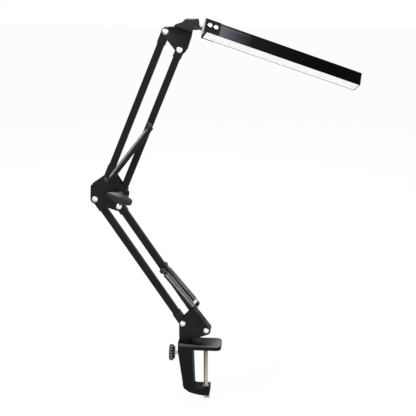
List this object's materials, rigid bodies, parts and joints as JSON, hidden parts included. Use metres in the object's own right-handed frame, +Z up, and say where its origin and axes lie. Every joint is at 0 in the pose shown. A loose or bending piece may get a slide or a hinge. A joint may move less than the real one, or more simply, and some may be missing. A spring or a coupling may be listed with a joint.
{
  "type": "swing-arm clamp lamp",
  "caption": "Clamp-on desk lamp with two spring-balanced parallelogram arms and a straight LED bar head on a tilting, swinging and rolling joint.",
  "frame": {"origin": "on the underside of the clamp's upper jaw, where it meets the table, on the axis of the clamp screw", "axes": "+Z up, +X towards the clamp's open end, +Y along the arm pins, away from the viewer of the picture"},
  "size_m": [0.3468, 0.0905, 0.51],
  "materials": {
    "clamp_black": "black powder coat over a casting",
    "satin_black": "satin black powder coat",
    "sleeve_black": "black moulded plastic",
    "spring_steel": "dark bright-drawn spring wire",
    "dark_steel": "blackened steel",
    "pin_steel": "turned steel",
    "screw_steel": "bright zinc plating",
    "cap_chrome": "bright chrome",
    "pad_black": "black plastic pad",
    "bush_white": "natural plastic",
    "knob_grey": "dark grey plastic, fine grain",
    "insert_brass": "turned brass",
    "housing_black": "glossy black anodised extrusion",
    "cover_black": "matte black paint",
    "cap_black": "black moulded plastic",
    "board_white": "white solder mask",
    "chip_yellow": "phosphor over a white package",
    "diffuser_opal": "opal, frosted",
    "grommet_rubber": "black rubber"
  },
  "bodies": {
    "clamp": {"clamp_frame": "clamp_black", "post_bush": "bush_white", "threaded_bush": "dark_steel"},
    "pad": {"pressure_pad": "pad_black"},
    "screw": {"clamp_screw": "screw_steel", "tommy_bar": "screw_steel", "tommy_caps": "screw_steel"},
    "lock": {"lock_stud": "pin_steel", "lock_knob": "knob_grey"},
    "base": {"base_post": "dark_steel", "base_bracket": "satin_black", "base_pins": "pin_steel", "base_pin_caps": "cap_chrome", "base_spring_studs": "dark_steel", "lower_spring_near": "spring_steel", "lower_spring_far": "spring_steel"},
    "lower_left_bar": {"lower_left_tube": "satin_black", "lower_left_sleeves": "sleeve_black"},
    "lower_right_bar": {"lower_right_tube": "satin_black", "lower_right_sleeves": "sleeve_black", "lower_anchor_pin": "dark_steel"},
    "elbow": {"elbow_near_plate": "satin_black", "elbow_far_plate": "satin_black", "elbow_pins": "pin_steel", "elbow_pin_caps": "cap_chrome", "elbow_spring_pin": "dark_steel", "knob_bolt": "pin_steel", "upper_spring_near": "spring_steel", "upper_spring_far": "spring_steel"},
    "knob": {"wing_knob": "knob_grey", "knob_insert": "insert_brass"},
    "upper_left_bar": {"upper_left_tube": "satin_black", "upper_left_sleeves": "sleeve_black"},
    "upper_right_bar": {"upper_right_tube": "satin_black", "upper_right_sleeves": "sleeve_black", "upper_anchor_pin": "dark_steel"},
    "head_bracket": {"head_bracket": "satin_black", "head_pins": "pin_steel", "head_pin_caps": "cap_chrome", "tilt_pin": "dark_steel"},
    "knuckle": {"knuckle": "dark_steel"},
    "swivel": {"end_plate": "pin_steel", "swing_pin": "pin_steel", "roll_rivet": "pin_steel"},
    "head": {"head_housing": "housing_black", "sleeve_cover": "cover_black", "cover_screws": "screw_steel", "left_end_cap": "cap_black", "right_end_cap": "cap_black", "led_board": "board_white", "led_chips": "chip_yellow", "diffuser": "diffuser_opal", "cord_grommet": "grommet_rubber"}
  },
  "joints": [
    {"name": "arm_swivel", "type": "hinge", "parent": "clamp", "child": "base", "pos_m": [-0.027, 0, 0], "axis": [0, 0, 1], "continuous": true},
    {"name": "screw_travel", "type": "slide", "parent": "clamp", "child": "pad", "axis": [0, 0, -1], "range_m": [0, 0.046]},
    {"name": "screw_turn", "type": "hinge", "parent": "pad", "child": "screw", "pos_m": [0, 0, 0], "axis": [0, 0, -1], "range_deg": [0, 16560]},
    {"name": "lock_turn", "type": "hinge", "parent": "clamp", "child": "lock", "pos_m": [-0.045, 0, -0.01], "axis": [1, 0, 0], "range_deg": [-180, 180]},
    {"name": "lower_arm", "type": "hinge", "parent": "base", "child": "lower_left_bar", "pos_m": [-0.0301, 0, 0.0343], "axis": [0, 1, 0], "range_deg": [-18, 84], "deforming": ["lower_spring_near", "lower_spring_far"]},
    {"name": "lower_right_pivot", "type": "hinge", "parent": "base", "child": "lower_right_bar", "pos_m": [0.00129, 0, 0.02512], "axis": [0, 1, 0], "range_deg": [-18, 84]},
    {"name": "elbow_level", "type": "hinge", "parent": "lower_left_bar", "child": "elbow", "pos_m": [-0.14349, 0, 0.20304], "axis": [0, 1, 0], "range_deg": [-84, 18]},
    {"name": "elbow_knob", "type": "hinge", "parent": "elbow", "child": "knob", "pos_m": [-0.10964, 0, 0.20858], "axis": [0, 1, 0], "range_deg": [-180, 180]},
    {"name": "upper_arm", "type": "hinge", "parent": "elbow", "child": "upper_left_bar", "pos_m": [-0.12699, 0, 0.23094], "axis": [0, 1, 0], "range_deg": [-36, 92], "deforming": ["upper_spring_near", "upper_spring_far"]},
    {"name": "upper_right_pivot", "type": "hinge", "parent": "elbow", "child": "upper_right_bar", "pos_m": [-0.10964, 0, 0.20858], "axis": [0, 1, 0], "range_deg": [-36, 92]},
    {"name": "head_level", "type": "hinge", "parent": "upper_left_bar", "child": "head_bracket", "pos_m": [-0.04919, 0, 0.41877], "axis": [0, 1, 0], "range_deg": [-92, 36]},
    {"name": "head_tilt", "type": "hinge", "parent": "head_bracket", "child": "knuckle", "pos_m": [-0.01169, 0, 0.42437], "axis": [0, 1, 0], "range_deg": [-30, 25]},
    {"name": "head_swing", "type": "hinge", "parent": "knuckle", "child": "swivel", "pos_m": [-0.00681, 0, 0.42257], "axis": [0.3453, 0, 0.9385], "range_deg": [-42, 12]},
    {"name": "head_roll", "type": "hinge", "parent": "swivel", "child": "head", "pos_m": [-0.00272, 0.00099, 0.42277], "axis": [0.9078, 0.2538, -0.334], "range_deg": [-90, 90]}
  ],
  "couplings": [
    {"joint": "screw_travel", "follows": "screw_turn", "m_per_rad": 0.00015915},
    {"joint": "lower_right_pivot", "follows": "lower_arm", "ratio": 1},
    {"joint": "elbow_level", "follows": "lower_arm", "ratio": -1},
    {"joint": "upper_right_pivot", "follows": "upper_arm", "ratio": 1},
    {"joint": "head_level", "follows": "upper_arm", "ratio": -1}
  ]
}
